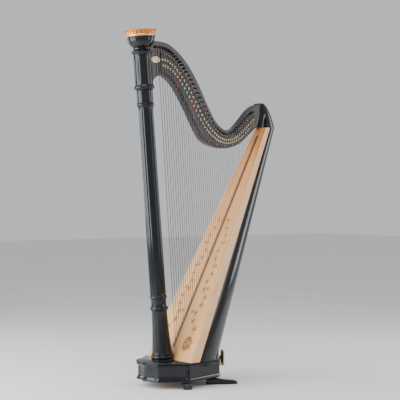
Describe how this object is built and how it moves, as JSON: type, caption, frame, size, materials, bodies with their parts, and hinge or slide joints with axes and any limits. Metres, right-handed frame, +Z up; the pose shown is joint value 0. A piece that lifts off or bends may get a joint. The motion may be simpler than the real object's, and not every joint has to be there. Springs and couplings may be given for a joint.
{
  "type": "concert harp",
  "caption": "Black-lacquered pedal harp: leaning column with gilded crown, curved neck with pins and discs, strings, pale soundboard, rounded soundbox, pedal base.",
  "frame": {"origin": "on the floor at the centre of the bounding box's footprint", "axes": "+Z up, +X from the column towards the soundbox and the player, -Y towards the string side"},
  "size_m": [1.0096, 0.408, 1.886],
  "materials": {
    "black_lacquer": "gloss black lacquer",
    "spruce": "clear-lacquered straight-grained spruce",
    "maple": "clear-lacquered maple",
    "inner_wood": "plain unfinished wood",
    "gold_leaf": "gilded wood, bright",
    "black_plate": "black satin on brass plate",
    "disc_brass": "polished",
    "hoop_metal": "plain bent strip",
    "steel": "drawn",
    "ivory": "satin, blank",
    "string_gut": "gut and nylon strings on steel tuning pins",
    "string_wire": "wound wire on steel tuning pins",
    "pedal_brass": "polished, worn where the foot rests"
  },
  "bodies": {
    "harp": {"action_plate_left": "black_plate", "action_plate_right": "black_plate", "base_body": "black_lacquer", "base_bottom_board": "inner_wood", "base_top_board": "black_lacquer", "column_base": "black_lacquer", "column_capital": "black_lacquer", "column_shaft": "black_lacquer", "crown_bell": "black_lacquer", "crown_rim": "gold_leaf", "front_foot_left": "black_lacquer", "front_foot_right": "black_lacquer", "fulcrum_rail": "steel", "hoop_lower": "hoop_metal", "hoop_middle": "hoop_metal", "hoop_upper": "hoop_metal", "inner_rib": "inner_wood", "medallion": "ivory", "natural_discs": "disc_brass", "neck": "black_lacquer", "neck_dowel": "inner_wood", "rear_foot_left": "black_lacquer", "rear_foot_right": "black_lacquer", "rod_guide_lower": "inner_wood", "rod_guide_upper": "inner_wood", "sharp_discs": "disc_brass", "shoulder": "black_lacquer", "side_rim_left": "maple", "side_rim_right": "maple", "soundboard": "spruce", "soundbox_shell": "black_lacquer", "string_rib": "maple", "strings_octave_1": "string_gut", "strings_octave_2": "string_gut", "strings_octave_3": "string_gut", "strings_octave_4": "string_gut", "strings_octave_5": "string_gut", "strings_octave_6": "string_wire", "strings_octave_7": "string_wire"},
    "pedal_d": {"pedal_lever_d": "pedal_brass"},
    "pedal_tip_d": {"pedal_tip_d": "pedal_brass"},
    "pedal_rod_d": {"pedal_rod_d": "steel"},
    "pedal_c": {"pedal_lever_c": "pedal_brass"},
    "pedal_tip_c": {"pedal_tip_c": "pedal_brass"},
    "pedal_rod_c": {"pedal_rod_c": "steel"},
    "pedal_b": {"pedal_lever_b": "pedal_brass"},
    "pedal_tip_b": {"pedal_tip_b": "pedal_brass"},
    "pedal_rod_b": {"pedal_rod_b": "steel"},
    "pedal_e": {"pedal_lever_e": "pedal_brass"},
    "pedal_tip_e": {"pedal_tip_e": "pedal_brass"},
    "pedal_rod_e": {"pedal_rod_e": "steel"},
    "pedal_f": {"pedal_lever_f": "pedal_brass"},
    "pedal_tip_f": {"pedal_tip_f": "pedal_brass"},
    "pedal_rod_f": {"pedal_rod_f": "steel"},
    "pedal_g": {"pedal_lever_g": "pedal_brass"},
    "pedal_tip_g": {"pedal_tip_g": "pedal_brass"},
    "pedal_rod_g": {"pedal_rod_g": "steel"},
    "pedal_a": {"pedal_lever_a": "pedal_brass"},
    "pedal_tip_a": {"pedal_tip_a": "pedal_brass"},
    "pedal_rod_a": {"pedal_rod_a": "steel"}
  },
  "joints": [
    {"name": "pedal_d_press", "type": "hinge", "parent": "harp", "child": "pedal_d", "pos_m": [-0.1757, 0, 0.0865], "axis": [0, 1, 0], "range_deg": [0, 7.5], "stiffness_Nm_per_rad": 8, "springref_deg": -17.19},
    {"name": "pedal_c_press", "type": "hinge", "parent": "harp", "child": "pedal_c", "pos_m": [-0.1757, 0, 0.0865], "axis": [0, 1, 0], "range_deg": [0, 7.5], "stiffness_Nm_per_rad": 8, "springref_deg": -17.19},
    {"name": "pedal_b_press", "type": "hinge", "parent": "harp", "child": "pedal_b", "pos_m": [-0.1757, 0, 0.0865], "axis": [0, 1, 0], "range_deg": [0, 7.5], "stiffness_Nm_per_rad": 8, "springref_deg": -17.19},
    {"name": "pedal_e_press", "type": "hinge", "parent": "harp", "child": "pedal_e", "pos_m": [-0.1757, 0, 0.0865], "axis": [0, 1, 0], "range_deg": [0, 7.5], "stiffness_Nm_per_rad": 8, "springref_deg": -17.19},
    {"name": "pedal_f_press", "type": "hinge", "parent": "harp", "child": "pedal_f", "pos_m": [-0.1757, 0, 0.0865], "axis": [0, 1, 0], "range_deg": [0, 7.5], "stiffness_Nm_per_rad": 8, "springref_deg": -17.19},
    {"name": "pedal_g_press", "type": "hinge", "parent": "harp", "child": "pedal_g", "pos_m": [-0.1757, 0, 0.0865], "axis": [0, 1, 0], "range_deg": [0, 7.5], "stiffness_Nm_per_rad": 8, "springref_deg": -17.19},
    {"name": "pedal_a_press", "type": "hinge", "parent": "harp", "child": "pedal_a", "pos_m": [-0.1757, 0, 0.0865], "axis": [0, 1, 0], "range_deg": [0, 7.5], "stiffness_Nm_per_rad": 8, "springref_deg": -17.19},
    {"name": "pedal_d_fold", "type": "hinge", "parent": "pedal_d", "child": "pedal_tip_d", "pos_m": [0.04948, -0.10994, 0.098], "axis": [0.2627, 0.9649, 0], "range_deg": [0, 90]},
    {"name": "pedal_c_fold", "type": "hinge", "parent": "pedal_c", "child": "pedal_tip_c", "pos_m": [0.07551, -0.07693, 0.098], "axis": [0.1757, 0.9844, 0], "range_deg": [0, 90]},
    {"name": "pedal_b_fold", "type": "hinge", "parent": "pedal_b", "child": "pedal_tip_b", "pos_m": [0.09679, -0.04241, 0.098], "axis": [0.0942, 0.9956, 0], "range_deg": [0, 90]},
    {"name": "pedal_e_fold", "type": "hinge", "parent": "pedal_e", "child": "pedal_tip_e", "pos_m": [0.0969, 0, 0.098], "axis": [0, 1, 0], "range_deg": [0, 90]},
    {"name": "pedal_f_fold", "type": "hinge", "parent": "pedal_f", "child": "pedal_tip_f", "pos_m": [0.09679, 0.04241, 0.098], "axis": [-0.0942, 0.9956, 0], "range_deg": [0, 90]},
    {"name": "pedal_g_fold", "type": "hinge", "parent": "pedal_g", "child": "pedal_tip_g", "pos_m": [0.07551, 0.07693, 0.098], "axis": [-0.1757, 0.9844, 0], "range_deg": [0, 90]},
    {"name": "pedal_a_fold", "type": "hinge", "parent": "pedal_a", "child": "pedal_tip_a", "pos_m": [0.04948, 0.10994, 0.098], "axis": [-0.2627, 0.9649, 0], "range_deg": [0, 90]},
    {"name": "rod_d_slide", "type": "slide", "parent": "harp", "child": "pedal_rod_d", "axis": [-0.0821, 0, 0.9966], "range_m": [0, 0.0135]},
    {"name": "rod_c_slide", "type": "slide", "parent": "harp", "child": "pedal_rod_c", "axis": [-0.0821, 0, 0.9966], "range_m": [0, 0.0135]},
    {"name": "rod_b_slide", "type": "slide", "parent": "harp", "child": "pedal_rod_b", "axis": [-0.0821, 0, 0.9966], "range_m": [0, 0.0135]},
    {"name": "rod_e_slide", "type": "slide", "parent": "harp", "child": "pedal_rod_e", "axis": [-0.0821, 0, 0.9966], "range_m": [0, 0.0135]},
    {"name": "rod_f_slide", "type": "slide", "parent": "harp", "child": "pedal_rod_f", "axis": [-0.0821, 0, 0.9966], "range_m": [0, 0.0135]},
    {"name": "rod_g_slide", "type": "slide", "parent": "harp", "child": "pedal_rod_g", "axis": [-0.0821, 0, 0.9966], "range_m": [0, 0.0135]},
    {"name": "rod_a_slide", "type": "slide", "parent": "harp", "child": "pedal_rod_a", "axis": [-0.0821, 0, 0.9966], "range_m": [0, 0.0135]}
  ],
  "couplings": [
    {"joint": "rod_d_slide", "follows": "pedal_d_press", "m_per_rad": 0.098},
    {"joint": "rod_c_slide", "follows": "pedal_c_press", "m_per_rad": 0.098},
    {"joint": "rod_b_slide", "follows": "pedal_b_press", "m_per_rad": 0.098},
    {"joint": "rod_e_slide", "follows": "pedal_e_press", "m_per_rad": 0.098},
    {"joint": "rod_f_slide", "follows": "pedal_f_press", "m_per_rad": 0.098},
    {"joint": "rod_g_slide", "follows": "pedal_g_press", "m_per_rad": 0.098},
    {"joint": "rod_a_slide", "follows": "pedal_a_press", "m_per_rad": 0.098}
  ]
}
